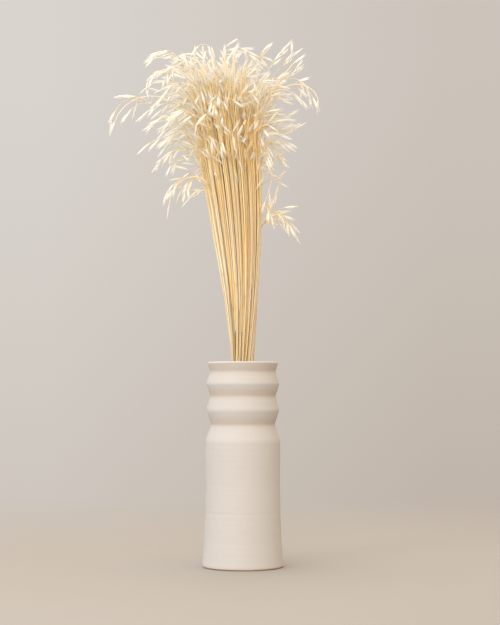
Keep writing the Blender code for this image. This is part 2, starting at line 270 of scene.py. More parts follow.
class Crowd:
    def __init__(self):
        self.starts = np.empty((0, 3))
        self.ends = np.empty((0, 3))
        self.radii = np.empty(0)
        self.owners = np.empty(0, int)

    def add(self, owner, points, radius):
        count = len(points) - 1
        self.starts = np.vstack((self.starts, points[:-1]))
        self.ends = np.vstack((self.ends, points[1:]))
        self.radii = np.append(self.radii, [radius] * count)
        self.owners = np.append(self.owners, [owner] * count)

    # the gap between a run and the nearest surface
    def room(self, start, end, chosen=None):
        chosen = np.full(len(self.owners), True) if chosen is None else chosen
        if not chosen.any():
            return math.inf
        gaps = runDistances(start, end, self.starts[chosen], self.ends[chosen])
        return float((gaps - self.radii[chosen]).min())


def runDistances(start, end, starts, ends):
    run = end - start
    runs = ends - starts
    between = start - starts
    runSquare = run @ run
    runSquares = np.einsum("ij,ij->i", runs, runs)
    shared = runs @ run
    ahead = between @ run
    behind = np.einsum("ij,ij->i", runs, between)
    across = np.maximum(runSquare * runSquares - shared**2, 1e-18)
    along = np.clip((shared * behind - ahead * runSquares) / across, 0, 1)
    otherAlong = np.clip((shared * along + behind) / runSquares, 0, 1)
    along = np.clip((shared * otherAlong - ahead) / runSquare, 0, 1)
    return np.linalg.norm(between + np.outer(along, run) - runs * otherAlong[:, None], axis=1)


def unit(vector):
    return vector / np.linalg.norm(vector)


def squared(vector, direction):
    return unit(vector - direction * (vector @ direction))


def cross(a, b):
    return np.array((a[1] * b[2] - a[2] * b[1], a[2] * b[0] - a[0] * b[2], a[0] * b[1] - a[1] * b[0]))


def around(direction, side, angle):
    return side * math.cos(angle) + np.cross(direction, side) * math.sin(angle)


def anySide(direction):
    guide = (0.0, 1.0, 0.0) if abs(direction[1]) < 0.9 else (1.0, 0.0, 0.0)
    return squared(np.array(guide), direction)


def seat(number):
    return cmath.rect(bunch["pitch"] * math.sqrt(number + 0.5), number * bunch["golden"])


def spread(height):
    rise = height - bunch["tie"]
    share = min(max(rise / bunch["flareRise"], 0.0), 1.0)
    turning = rise if rise < 0 else bunch["flareRise"] * (share - share**3 / 3)
    return complex(1 + bunch["flare"] * share**2 * (3 - 2 * share), bunch["twist"] * turning)


def bunchPlace(number, height, wider=0j):
    # wider fans a line out above the bundle and skews it from the foot of the bundle on
    rise = max(height - bunch["tie"], 0.0)
    fan = wider.real * max(rise - bunch["fanRise"], 0.0) ** bunch["fanPower"]
    place = seat(number) * (spread(height) + fan + 1j * wider.imag * rise)
    lean = bunch["lean"] * rise ** bunch["leanPower"]
    return np.array((place.real - lean, place.imag, height))


def bunchDirection(number, height, wider=0j, step=0.001):
    return unit(bunchPlace(number, height + step, wider) - bunchPlace(number, height - step, wider))


def leaning(heading, tilt):
    return np.array((math.sin(tilt) * math.cos(heading), math.sin(tilt) * math.sin(heading), math.cos(tilt)))


def turned(start, end, share):
    angle = math.acos(max(-1.0, min(1.0, float(start @ end))))
    if angle < 1e-6:
        return start
    return (start * math.sin((1 - share) * angle) + end * math.sin(share * angle)) / math.sin(angle)


def panicleLine(number, heading, height, length, tilt, lateness, wider=0j):
    steps = panicle["steps"]
    start = bunchDirection(number, height, wider)
    end = leaning(heading, tilt)
    places = [bunchPlace(number, height, wider)]
    directions = [start]
    for step in range(steps):
        middle = turned(start, end, ((step + 0.5) / steps) ** lateness)
        places.append(places[-1] + middle * length / steps)
        directions.append(turned(start, end, ((step + 1) / steps) ** lateness))
    return places, directions


def outwardHeading(number, height):
    away = bunchPlace(number, height) - bunchPlace(0, height)
    return math.atan2(away[1], away[0])


def drawPanicleLine(number, draw):
    outward = (number + 0.5) / bunch["stems"]
    height = draw.uniform(*panicle["start"])
    length = min(draw.uniform(*panicle["length"]), panicle["top"] - height)
    heading = outwardHeading(number, height) + draw.gauss(0, panicle["headingSpread"])
    tilt = panicle["innerTilt"] + (panicle["outerTilt"] - panicle["innerTilt"]) * outward
    tilt += draw.gauss(0, panicle["tiltSpread"])
    lateness = draw.uniform(*panicle["lateness"])
    return panicleLine(number, heading, height, length, math.radians(tilt), lateness)


def clearPanicleLine(number, draw, crowd):
    best, mostRoom = None, -math.inf
    for _ in range(bunch["tries"]):
        places, directions = drawPanicleLine(number, draw)
        stops = places[:: panicle["steps"] // 5]
        room = min(crowd.room(a, b) for a, b in zip(stops, stops[1:]))
        if room > mostRoom:
            best, mostRoom = (places, directions), room
        if mostRoom > panicle["room"]:
            break
    return best


def reachingSeats():
    taken = {}
    outermost = abs(seat(bunch["stems"] - 1))
    for heading, outness, height, length, tilt, lateness in reachingStems:
        heading = math.radians(heading)
        wanted = cmath.rect(outness * outermost, heading - cmath.phase(spread(height)))
        free = [number for number in range(bunch["stems"]) if number not in taken]
        nearest = min(free, key=lambda number: abs(seat(number) - wanted))
        taken[nearest] = (heading, height, length, math.radians(tilt), lateness)
    return taken


def layStem(number, line, crowd, draw):
    places, directions = line
    bends = bunch["bends"]
    steps = [round(share * panicle["steps"]) for share in branch["whorls"]]
    lowPlaces = [bunchPlace(number, height) for height, _ in bends]
    lowDirections = [bunchDirection(number, height) for height, _ in bends]
    side = around(lowDirections[0], anySide(lowDirections[0]), draw.uniform(0, math.pi))
    sides = []
    for direction in lowDirections + [directions[step] for step in steps]:
        side = squared(side, direction)
        sides.append(side)
    nod = spikelet["droop"] * down + [draw.gauss(0, spikelet["swing"]), draw.gauss(0, spikelet["swing"]), 0.0]
    roll = draw.uniform(0, math.pi)
    tip = Spike(places[-1], unit(directions[-1] + nod), roll, draw.uniform(*spikelet["length"]))
    crowd.add(number, lowPlaces[:-1], bends[0][1])
    crowd.add(number, lowPlaces[-2:] + [places[step] for step in steps] + [tip.neck], panicle["radius"][0])
    crowd.add(number, [tip.neck, tip.end()], spikelet["room"])
    return Plant(number, line, sides[len(bends):], tip)


def drawBranch(place, direction, side, radius, sideNumber, length, draw):
    square = (sideNumber + 1) * math.pi / 2
    outward = around(direction, side, square + draw.uniform(-branch["swing"], branch["swing"]))
    opening = math.radians(draw.uniform(*branch["opening"]))
    straight = direction * math.cos(opening) + outward * math.sin(opening)
    along = unit(straight + down * draw.uniform(0, branch["sag"]))
    root = place + outward * radius
    droop = spikelet["droop"] + spikelet["leaningDroop"] * (1 - direction[2])
    droop += spikelet["looseDroop"] if draw.random() < spikelet["looseShare"] else 0.0
    loose = np.array([draw.gauss(0, spikelet["swing"]) for _ in range(3)])
    way = unit((along + direction) / 2 + loose + down * droop)
    neck = root + along * length
    return Spike(neck, way, draw.uniform(0, math.pi), draw.uniform(*spikelet["length"]), root, direction)


def branchIsClear(stem, rank, spike, crowd):
    along = unit(spike.neck - spike.root)
    whorls = [stem.places[round(share * panicle["steps"])] for share in branch["whorls"]]
    stops = [bunchPlace(stem.number, bunch["bends"][-1][0])] + whorls + [stem.tip.neck]
    for neighbour in (stops[rank], stops[rank + 2]):
        if np.linalg.norm(np.cross(unit(neighbour - stops[rank + 1]), along)) < branch["leastOpening"]:
            return False
    if spike.direction @ along < branch["leastFold"]:
        return False
    own = crowd.owners == stem.number
    touch = branch["touch"]
    return (
        crowd.room(spike.root, spike.neck, ~own) > branch["room"] + touch
        and crowd.room(spike.root + along * branch["rootRoom"], spike.neck, own) > branch["room"] + touch
        and crowd.room(spike.neck, spike.end()) > spikelet["room"] + touch
    )


def growBranches(stem, reaching, crowd, draw):
    scale = branch["reachingScale"] if reaching else 1.0
    thick, thin = panicle["radius"]
    for rank, count in enumerate(branch["reachingCounts"] if reaching else branch["counts"]):
        share = branch["whorls"][rank]
        step = round(share * panicle["steps"])
        whorl = stem.places[step], stem.directions[step], stem.sides[rank], thick + (thin - thick) * share
        firstSide = draw.randrange(4)
        stride = 2 if count == 2 else 1
        for turn in range(count):
            sideNumber = (firstSide + stride * turn) % 4
            for _ in range(bunch["tries"]):
                length = draw.uniform(*branch["lengths"][rank]) * scale
                spike = drawBranch(*whorl, sideNumber, length, draw)
                if branchIsClear(stem, rank, spike, crowd):
                    stem.spikes.append(spike)
                    crowd.add(stem.number, [spike.root, spike.neck], branch["room"])
                    crowd.add(stem.number, [spike.neck, spike.end()], spikelet["room"])
                    break


def arrangeBunch():
    crowd = Crowd()
    reaching = reachingSeats()
    draws = {number: random.Random(bunch["seed"] * 1000 + number) for number in range(bunch["stems"])}
    stems = {}
    for number in sorted(range(bunch["stems"]), key=lambda number: number not in reaching):
        if number in reaching:
            line = panicleLine(number, *reaching[number])
        else:
            line = clearPanicleLine(number, draws[number], crowd)
        stems[number] = layStem(number, line, crowd, draws[number])
    for number, stem in stems.items():
        growBranches(stem, number in reaching, crowd, draws[number])
    return [stems[number] for number in range(bunch["stems"])], crowd, set(reaching)


stems, crowd, reaching = arrangeBunch()
print("bunch arranged,", sum(len(stem.spikes) + 1 for stem in stems), "spikelets of the frame")


# The finer sprays that fill the head. They arch, and their spikelets hang side by side.
sprays = {
    "shares": (0.28, 0.54, 0.82),  # where they start along a panicle
    "reachingShares": (0.32,),
    "length": (0.064, 0.020),  # at the panicle's start and at its tip
    "lengthVaries": (0.7, 1.15),
    "turn": (1.7, 3.1),  # round the panicle from one spray to the next
    "opening": (6, 26),
    "bend": (0.15, 0.85),
    "droop": (0.0, 0.7),
    "outwardNod": 0.15,
    "points": 9,
    "bare": 0.42,  # the share of a spray below its first spikelet
    "pitch": 0.0105,
    "countVaries": (-0.4, 0.8),
    "fan": 0.20,
    "endFan": 0.3,  # the share of it for the spikelet at the end
    "sideDroop": 0.8,  # how much further the spikelets that point to the front or the back hang
    "stalk": (0.003, 0.008),
    "stalkHang": 0.6,
    "spikeLength": (0.018, 0.027),
    "spikeRadius": 0.0012,
    "radius": (0.00052, 0.00034),
    "lineSides": 3,
    "looseness": 0.09,
    "tries": 4,
    "gap": 0.0011,
    "leastGap": 0.0002,
    "front": -0.035,  # past it and round this middle only some sprays are kept
    "frontMiddle": -0.025,
    "frontReach": 0.055,
    "frontLeftOut": 0.6,
    "hangs": 0.022,
    "margin": 0.002,
    "seenMargin": 0.014,  # the photo's highest tip stands above the frame
    "seenFrom": (2.2, 0.251),  # how far away and how far up
    # how far the head spreads in the picture: height, left and right in millimetres, then x and top
    "sides": (
        (520, -75, 30), (570, -95, 40), (600, -125, 52), (650, -138, 58), (700, -138, 70),
        (720, -140, 82), (750, -132, 74),
    ),
    "tops": (
        (-136, 741), (-121, 756), (-107, 755), (-92, 738), (-78, 740), (-63, 744), (-45, 754), (-31, 751),
        (-18, 765), (-4, 757), (10, 747), (25, 749), (40, 755), (54, 751), (69, 747), (84, 714),
    ),
}
# a thinner shoot beside each stem
tiller = {
    "start": (0.58, 0.655),
    "length": (0.05, 0.10),
    "shares": (0.30, 0.75),
    "scale": 0.8,
    "innerTilt": 4,
    "outerTilt": 62,
    "tiltSpread": 14,
    "headingSpread": 0.4,
    "lateness": (1.0, 2.0),
    "wider": 5 + 0.3j,
    "thickness": 0.66,
    "sides": 6,
    "radius": (0.0006, 0.0004),
    "tip": 0.023,
}
awns = {
    "count": 14,  # fine dry shoots that stand among each stem and its neighbours
    "foot": (0.32, 0.44),
    "top": (0.58, 0.735),
    "inward": 0.8,  # most have their feet behind the outer stems
    "mouth": 0.287,  # the others start inside the vase's mouth
    "fan": (0, 18),
    "skew": (-1.0, 1.0),
    "outward": 5,  # how many seats further out they may stand
    "outerEach": 4,
    "radius": (0.0007, 0.0003),
    "thinnest": 0.8,
    "thickest": 1.8,
    "outerThickest": 1.0,
    "paleShare": 0.3,
    "outerPaleShare": 0.8,
    "paleTint": 0.1,
    "points": 15,
    "sides": 4,
}
# how the sprays below are laid, in millimetres up to "forward" and in metres from there
seen = {
    "depthVaries": (-4, 4),
    "forward": 4,  # from one of its points to the next
    "above": 0.01,  # how much higher than its first point it may start
    "unrooted": 6,  # steps at a panicle's tip where none starts
    "joint": 0.012,
    "pull": 0.33,
    "pitch": 0.007,
    "leastHung": 0.3,
    "hangDepth": (-0.25, 0.05),
}
# the sprays that can be told apart in the photo, in millimetres: depth, path as (x, z), the way that
# the spikelets point in the picture, and their number
seenSprays = (
    (-10, ((-90, 737), (-101, 752), (-112, 757), (-124, 750)), (-0.85, -0.55), 6),
    (-30, ((-90, 723), (-101, 727), (-116, 724), (-127, 717)), (-0.75, -0.75), 5),
    (10, ((-110, 731), (-128, 731), (-138, 721), (-141, 711)), (-0.12, -1.00), 3),
    (-20, ((-86, 719), (-97, 728), (-107, 725), (-112, 716)), (-0.10, -1.00), 6),
    (-15, ((-131, 678), (-143, 684), (-157, 688), (-168, 687)), (-0.95, -0.22), 3),
    (0, ((-145, 685), (-164, 687), (-181, 680), (-191, 662)), (-0.24, -1.00), 2),
    (15, ((-137, 687), (-150, 685), (-162, 678), (-167, 673)), (-0.55, -0.90), 2),
    (-45, ((-96, 669), (-110, 676), (-123, 671), (-133, 662)), (-0.70, -0.75), 5),
    (-60, ((-87, 648), (-101, 656), (-114, 649), (-121, 642)), (-0.92, -0.36), 4),
    (-75, ((-65, 639), (-74, 653), (-86, 655), (-100, 642)), (-0.62, -0.80), 7),
    (-85, ((-41, 588), (-80, 608), (-110, 615), (-127, 609)), (-0.62, -0.80), 3),
    (-55, ((-76, 691), (-89, 700), (-101, 696), (-110, 686)), (-0.65, -0.80), 6),
    (-30, ((-64, 595), (-79, 607), (-97, 607), (-113, 595)), (-0.50, -0.90), 5),
    (-10, ((-55, 572), (-68, 581), (-83, 572), (-98, 555)), (-0.55, -0.85), 6),
    (-50, ((-41, 538), (-50, 546), (-61, 546), (-69, 541)), (-0.70, -0.75), 3),
    (-50, ((-45, 717), (-46, 740), (-52, 755), (-59, 755)), (-0.05, -1.00), 5),
    (0, ((-29, 723), (-30, 747), (-29, 762), (-26, 768)), (0.50, 0.87), 2),
    (10, ((-28, 728), (-28, 749), (-25, 761), (-20, 762)), (1.00, -0.02), 4),
    (5, ((-16, 742), (-12, 760), (-3, 763), (10, 752)), (0.75, -0.60), 5),
    (-20, ((-68, 700), (-73, 716), (-76, 723), (-78, 726)), (-0.15, 1.00), 2),
    (0, ((16, 726), (19, 741), (22, 747), (28, 753)), (0.68, 0.75), 3),
    (-20, ((34, 716), (42, 734), (48, 742), (55, 749)), (0.72, 0.65), 5),
    (20, ((40, 719), (53, 736), (62, 745), (70, 753)), (0.80, 0.50), 4),
    (-10, ((42, 698), (54, 709), (66, 718), (72, 723)), (0.80, 0.55), 3),
    (0, ((49, 706), (69, 719), (85, 713), (100, 694)), (0.32, -1.00), 6),
    (-40, ((33, 689), (53, 693), (71, 689), (82, 679)), (0.50, -0.85), 4),
    (-65, ((27, 687), (36, 694), (41, 695), (46, 694)), (0.85, -0.50), 2),
    (-20, ((22, 652), (28, 659), (34, 662), (39, 664)), (1.00, 0.12), 4),
    (-30, ((19, 633), (28, 642), (36, 646), (42, 646)), (1.00, 0.10), 4),
    (-10, ((28, 625), (42, 635), (57, 638), (64, 638)), (0.70, 0.60), 4),
    (-40, ((22, 605), (33, 615), (48, 618), (59, 617)), (0.70, -0.65), 4),
    (-50, ((19, 572), (36, 584), (42, 566), (33, 532)), (-0.10, -1.00), 2),
    (-20, ((28, 609), (55, 609), (60, 582), (47, 542)), (-0.10, -1.00), 3),
    (-30, ((22, 516), (36, 520), (53, 514), (66, 498)), (0.28, -0.96), 5),
    (-50, ((22, 525), (30, 526), (36, 520), (39, 512)), (0.12, -1.00), 3),
    (-50, ((17, 606), (27, 615), (35, 606), (33, 592)), (0.35, -0.95), 4),
    (10, ((-78, 655), (-90, 675), (-102, 684), (-112, 678)), (-0.75, -0.65), 6),
    (-30, ((-74, 662), (-85, 682), (-97, 691), (-107, 685)), (-0.80, -0.60), 6),
    (20, ((-75, 683), (-87, 704), (-96, 716), (-108, 716)), (-0.70, -0.70), 6),
    (-20, ((-71, 629), (-86, 643), (-99, 649), (-109, 640)), (-0.80, -0.60), 6),
    (-50, ((-64, 615), (-79, 629), (-90, 632), (-102, 622)), (-0.75, -0.65), 6),
    (20, ((-63, 615), (-81, 630), (-96, 634), (-108, 624)), (-0.60, -0.80), 5),
    (-60, ((-67, 633), (-75, 650), (-84, 659), (-94, 656)), (-0.70, -0.70), 5),
    (0, ((-57, 588), (-75, 600), (-89, 603), (-101, 593)), (-0.35, -0.95), 4),
    (-30, ((-53, 558), (-65, 566), (-74, 563), (-82, 549)), (-0.35, -0.95), 4),
    (0, ((19, 673), (31, 688), (40, 694), (47, 692)), (0.85, 0.25), 4),
    (15, ((22, 647), (34, 662), (43, 666), (50, 663)), (0.90, -0.15), 4),
    (-40, ((17, 617), (28, 628), (39, 631), (49, 627)), (0.90, -0.30), 4),
    (10, ((22, 599), (34, 610), (43, 610), (52, 602)), (0.75, -0.60), 4),
    (0, ((-63, 706), (-69, 729), (-75, 741), (-83, 744)), (-0.75, -0.45), 4),
    (10, ((-54, 717), (-57, 740), (-63, 752), (-71, 755)), (-0.75, -0.55), 4),
    (10, ((2, 717), (8, 740), (16, 752), (25, 752)), (0.80, -0.45), 4),
    (-70, ((-40, 651), (-39, 670), (-40, 675), (-42, 673)), (-0.08, -1.00), 1),
    (-75, ((-29, 659), (-24, 672), (-18, 673), (-15, 670)), (0.95, -0.25), 1),
    (-75, ((-31, 618), (-29, 640), (-32, 647), (-34, 644)), (-0.05, -1.00), 2),
    (-75, ((-18, 591), (-15, 614), (-15, 624), (-15, 622)), (0.00, -1.00), 1),
    (-75, ((-49, 592), (-48, 612), (-48, 620), (-46, 618)), (0.08, -1.00), 2),
    (-75, ((-38, 583), (-35, 600), (-34, 610), (-31, 608)), (0.15, -1.00), 2),
    (-70, ((-58, 624), (-56, 641), (-59, 648), (-62, 645)), (-0.10, -1.00), 1),
    (-70, ((4, 618), (7, 638), (4, 644), (2, 641)), (-0.15, -1.00), 1),
)


def insideBox(point, margin):
    low, high = cadBox
    return all(low[k] - margin < point[k] < high[k] + margin for k in range(3))


def insideHead(point):
    # in the outline that the camera sees
    away, eye = sprays["seenFrom"]
    nearer = away / (away + point[1]) * 1000
    x, z = point[0] * nearer, eye * 1000 + (point[2] - eye) * nearer
    heights, lefts, rights = zip(*sprays["sides"])
    if not np.interp(z, heights, lefts) < x < np.interp(z, heights, rights):
        return False
    return z < np.interp(x, *zip(*sprays["tops"])) and insideBox(point, sprays["margin"])


def bezier(start, startWay, endWay, end, count, pull=0.38):
    reach = np.linalg.norm(end - start) * pull
    second, third = start + startWay * reach, end - endWay * reach
    t = np.linspace(0, 1, count)[:, None]
    return (1 - t) ** 3 * start + 3 * (1 - t) ** 2 * t * second + 3 * (1 - t) * t**2 * third + t**3 * end


def pathLengths(points):
    return np.append(0, np.cumsum(np.linalg.norm(np.diff(points, axis=0), axis=1)))


def alongPath(points, lengths, reach):
    return np.array([np.interp(reach, lengths, points[:, k]) for k in range(3)])


def bentPath(place, way, lean, length, count):
    # a line that leans over more and more towards its end
    points, ways = [place], [way]
    for k in range(1, count):
        way = unit(way + lean * (k / count) / count * 2)
        points.append(points[-1] + way * length / (count - 1))
        ways.append(way)
    return np.array(points), ways


def hangSpike(number, root, way, hang, crowd, draw):
    # the clearest of a few tries, or none where all are too close
    best, bestRoom = None, sprays["leastGap"]
    for attempt in range(sprays["tries"]):
        loose = np.array([draw.gauss(0, sprays["looseness"] * (1 + attempt)) for _ in range(3)])
        along = unit(way + hang * sprays["stalkHang"] + loose)
        direction = unit(hang + loose)
        neck = root + along * draw.uniform(*sprays["stalk"])
        roll = draw.uniform(0, math.pi)
        spike = Spike(neck, direction, roll, draw.uniform(*sprays["spikeLength"]), root, way)
        if not insideBox(spike.end(), sprays["seenMargin"]):
            continue
        room = crowd.room(spike.neck + direction * 0.003, spike.end())
        if room > bestRoom:
            best, bestRoom = spike, room
        if bestRoom > sprays["gap"]:
            break
    if best is not None:
        crowd.add(number, [best.neck, best.end()], sprays["spikeRadius"])
    return best


def hangComb(plant, number, points, bare, count, hang, crowd, draw):
    # spikelets on a spray's outer part, to its two sides in turn
    lengths = pathLengths(points)
    for k in range(count):
        reach = lengths[-1] * (bare + (1 - bare) * (k + 1) / count)
        root = alongPath(points, lengths, reach)
        way = unit(root - alongPath(points, lengths, reach - 0.002))
        side = cross(way, down + way * 0.001)
        side = unit(side) if np.linalg.norm(side) > 0.05 else anySide(way)
        fan = sprays["fan"] * (-1) ** k * (sprays["endFan"] if k == count - 1 else 1.0)
        aside = side * fan
        spike = hangSpike(number, root, unit(way + aside * 2), unit(hang + way * 0.3 + aside), crowd, draw)
        if spike:
            plant.spikes.append(spike)


def growSprays(plant, number, shares, scale, crowd, draw):
    side = anySide(plant.directions[0])
    angle = draw.uniform(0, 2 * math.pi)
    level = np.array((1, 1, 0))
    away = (plant.places[0] - bunchPlace(0, plant.places[0][2])) * level
    nod = plant.directions[-1] * level + sprays["outwardNod"] * unit(away + 1e-9)
    for share in shares:
        step = round(share * panicle["steps"])
        direction = plant.directions[step]
        side = squared(side, direction)
        angle += draw.uniform(*sprays["turn"])
        outward = around(direction, side, angle)
        opening = math.radians(draw.uniform(*sprays["opening"]))
        way = direction * math.cos(opening) + outward * math.sin(opening)
        longest, shortest = sprays["length"]
        length = (longest + (shortest - longest) * share) * draw.uniform(*sprays["lengthVaries"]) * scale
        # a spray bends more where the panicle has leaned over, and less where it is short
        bend = draw.uniform(*sprays["bend"]) * (0.4 + 1.6 * (1 - direction[2])) * min(1.0, length / 0.04)
        lean = down * bend + (outward * 0.5 + nod) * bend * 0.8
        points, ways = bentPath(plant.places[step], way, lean, length, sprays["points"])
        droop = draw.uniform(*sprays["droop"]) + 0.5 * (1 - direction[2])
        hang = unit(ways[-1] + down * droop + nod * 0.3)
        hang = unit(hang + down * sprays["sideDroop"] * hang[1] ** 2)
        x, y, _ = points[-1]
        inFront = y < sprays["front"] and abs(x - sprays["frontMiddle"]) < sprays["frontReach"]
        crowded = inFront and draw.random() < sprays["frontLeftOut"]
        reaches = scale == branch["reachingScale"]
        if crowded or not reaches and not insideHead(points[-1] + hang * sprays["hangs"]):
            continue
        count = length * (1 - sprays["bare"]) / sprays["pitch"] + draw.uniform(*sprays["countVaries"])
        hangComb(plant, number, points, sprays["bare"], max(1, round(count)), hang, crowd, draw)
        plant.lines.append(points)


def growSeenSpray(stems, row, crowd, draw):
    # from the nearest place on a panicle, by way of the row's points
    depth, path, hang, count = row
    stops = []
    for k, (x, z) in enumerate(path):
        y = depth + draw.uniform(*seen["depthVaries"]) - seen["forward"] * k
        stops.append(np.array((x, y, z)) / 1000)
    places = [
        (np.linalg.norm(place - stops[0]), stem.number, step)
        for stem in stems
        for step, place in enumerate(stem.places[:-seen["unrooted"]])
        if place[2] < stops[0][2] + seen["above"]
    ]
    _, number, step = min(places)
    stem = stems[number]
    stops.insert(0, stem.places[step])
    reach = np.linalg.norm(stops[1] - stops[0])
    if reach > seen["joint"]:
        stops.insert(1, stops[0] + stem.directions[step] * reach * 0.4 + (stops[1] - stops[0]) * 0.2)
    stops = np.array(stops)
    ways = np.gradient(stops, axis=0)
    runs = [
        bezier(a, unit(u), unit(v), b, 5, seen["pull"])
        for a, b, u, v in zip(stops, stops[1:], ways, ways[1:])
    ]
    points = np.concatenate([run[:-1] for run in runs] + [runs[-1][-1:]])
    lengths = pathLengths(points)
    bare = 1 - min(1, max(seen["leastHung"], seen["pitch"] * count / lengths[-1]))
    hang = unit(np.array((hang[0], draw.uniform(*seen["hangDepth"]), hang[1])))
    hangComb(stem, number, points, bare, count, hang, crowd, draw)
    stem.lines.append(points)


def growTiller(stem, crowd, draw):
    number = stem.number + 0.5
    height = draw.uniform(*tiller["start"])
    heading = outwardHeading(number, height) + draw.gauss(0, tiller["headingSpread"])
    outerTilt = tiller["outerTilt"] * (number / bunch["stems"])
    tilt = math.radians(tiller["innerTilt"] + outerTilt + draw.gauss(0, tiller["tiltSpread"]))
    length = min(draw.uniform(*tiller["length"]), panicle["top"] - height)
    lateness = draw.uniform(*tiller["lateness"])
    made = Plant(number, panicleLine(number, heading, height, length, tilt, lateness, tiller["wider"]))
    growSprays(made, stem.number, tiller["shares"], tiller["scale"], crowd, draw)
    return made


def standAwns(stem, draw):
    lines = []
    for k in range(awns["count"]):
        outer = k % awns["outerEach"] == 0
        number = stem.number * (1.0 if outer else awns["inward"]) + draw.uniform(0.0, 1.0)
        number += awns["outward"] * draw.random() ** 2
        wider = complex(draw.uniform(*awns["fan"]), draw.uniform(*awns["skew"]))
        foot = awns["mouth"] if outer else draw.uniform(*awns["foot"])
        heights = np.linspace(foot, draw.uniform(*awns["top"]), awns["points"])
        lines.append((outer, np.array([bunchPlace(number, height, wider) for height in heights])))
    return lines


finer = {stem.number: random.Random(7000 + stem.number) for stem in stems}
for stem in stems:
    for spike in stem.spikes + [stem.tip]:
        spike.direction = unit(spike.direction + down * sprays["sideDroop"] * spike.direction[1] ** 2)
seenDraw = random.Random(31)
for row in seenSprays:
    growSeenSpray(stems, row, crowd, seenDraw)
for stem in stems:
    shares, scale = sprays["shares"], 1.0
    if stem.number in reaching:
        shares, scale = sprays["reachingShares"], branch["reachingScale"]
    growSprays(stem, stem.number, shares, scale, crowd, finer[stem.number])
tillers = [growTiller(stem, crowd, finer[stem.number]) for stem in stems]
for stem in stems:
    stem.awns = standAwns(stem, finer[stem.number])
spikeCount = sum(len(stem.spikes) + 1 for stem in stems) + sum(len(made.spikes) + 1 for made in tillers)
print("sprays grown,", spikeCount, "spikelets")


# Meshes of the plants
class Sheets:
    # gathers grids of faces with their material and the numbers that colour them
    def __init__(self):
        self.verts, self.faces, self.kinds, self.grains, self.tints, self.marks = [], [], [], [], [], []
        self.count = 0

    # a grid of points, rows by columns, closed round its columns or not
    def grid(self, points, closed, kind, across, along, pick, tint, mark=0.0):
        rows, columns = points.shape[:2]
        index = np.arange(rows * columns).reshape(rows, columns) + self.count
        right = np.roll(index, -1, axis=1) if closed else index[:, 1:]
        left = index if closed else index[:, :-1]
        faces = np.stack((left[:-1], right[:-1], right[1:], left[1:]), axis=-1).reshape(-1, 4)
        self.verts.append(points.reshape(-1, 3))
        self.faces.append(faces)
        self.kinds.append(np.full(len(faces), kind))
        grain = np.empty((rows, columns, 3))
        grain[..., 0] = across
        grain[..., 1] = np.asarray(along).reshape(-1, 1)
        grain[..., 2] = pick
        self.grains.append(grain.reshape(-1, 3))
        for stored, value in ((self.tints, tint), (self.marks, mark)):
            value = np.asarray(value, float).reshape(-1, 1)
            stored.append(np.broadcast_to(value, (rows, columns)).ravel())
        self.count += rows * columns

    # a tube round a line, and a fine one has the same grain on all its sides
    def line(self, points, radii, sides, kind, along, pick, tint, mark=0.0, fine=False):
        across = 0.0 if fine else np.arange(sides) / sides
        self.grid(tube(points, radii, sides), True, kind, across, along, pick, tint, mark)

    def piece(self, name, materials):
        mesh = bpy.data.meshes.new(name)
        verts = np.concatenate(self.verts)
        faces = np.concatenate(self.faces)
        mesh.from_pydata(verts.tolist(), [], faces.tolist())
        for made in materials:
            mesh.materials.append(made)
        mesh.polygons.foreach_set("material_index", np.concatenate(self.kinds).astype(np.int32))
        mesh.polygons.foreach_set("use_smooth", np.ones(len(faces), bool))
        for key, kind, field, parts in (
            ("grain", "FLOAT_VECTOR", "vector", self.grains),
            ("tint", "FLOAT", "value", self.tints),
            ("mark", "FLOAT", "value", self.marks),
        ):
            values = np.concatenate(parts).astype(np.float32).ravel()
            mesh.attributes.new(key, kind, "POINT").data.foreach_set(field, values)
        mesh.update()
        made = bpy.data.objects.new(name, mesh)
        bpy.context.scene.collection.objects.link(made)
        return made


def tube(points, radii, sides):
    points = np.asarray(points)
    ways = np.gradient(points, axis=0)
    ways /= np.linalg.norm(ways, axis=1)[:, None]
    angles = np.arange(sides) * 2 * math.pi / sides
    rings = np.empty((len(points), sides, 3))
    side = anySide(ways[0])
    for k, way in enumerate(ways):
        side = side - way * (side @ way)
        side /= math.sqrt(side @ side)
        other = cross(way, side)
        rings[k] = points[k] + radii[k] * (np.outer(np.cos(angles), side) + np.outer(np.sin(angles), other))
    return rings


glume = {
    "along": (0.0, 0.09, 0.23, 0.40, 0.58, 0.79, 1.0),
    "across": (-1.0, -0.55, 0.0, 0.55, 1.0),
    "width": 0.0032,
    "widthVaries": (0.82, 1.1),
    "depth": 0.0026,
    "depthVaries": (0.8, 1.1),
    "open": (0.0002, 0.0015),
    "second": 0.90,  # the length of the shorter glume
    "secondVaries": (0.94, 1.06),
    "paleShare": 0.45,
    "paleTint": 0.15,
}
floret = {
    "along": (0.03, 0.16, 0.34, 0.55, 0.74),
    "bulge": (0.35, 0.9, 1.0, 0.75, 0.1),
    "radius": 0.00095,
    "radiusVaries": (0.8, 1.1),
    "sides": 4,
}
# what a spikelet hangs on, and the places along a straw whose colours it and the sprays take
stalk = {
    "stops": (0, 0.15, 0.8, 1),
    "radii": (0.00048, 0.00036, 0.00030, 0.0005),
    "rings": 5,
    "sides": 3,
    "sunk": 0.0006,  # into its spikelet
    "grain": (0.5, 0.6),
}
alongs = np.array(glume["along"])[:, None]
acrosses = np.array(glume["across"])[None, :]
bell = 3.487 * alongs**0.75 * (1 - alongs) ** 1.1
arc = np.cos(acrosses * math.pi / 2) ** 0.8
dip = np.sin(acrosses * math.pi / 2)
culmKind, glumeKind, floretKind = 0, 1, 2


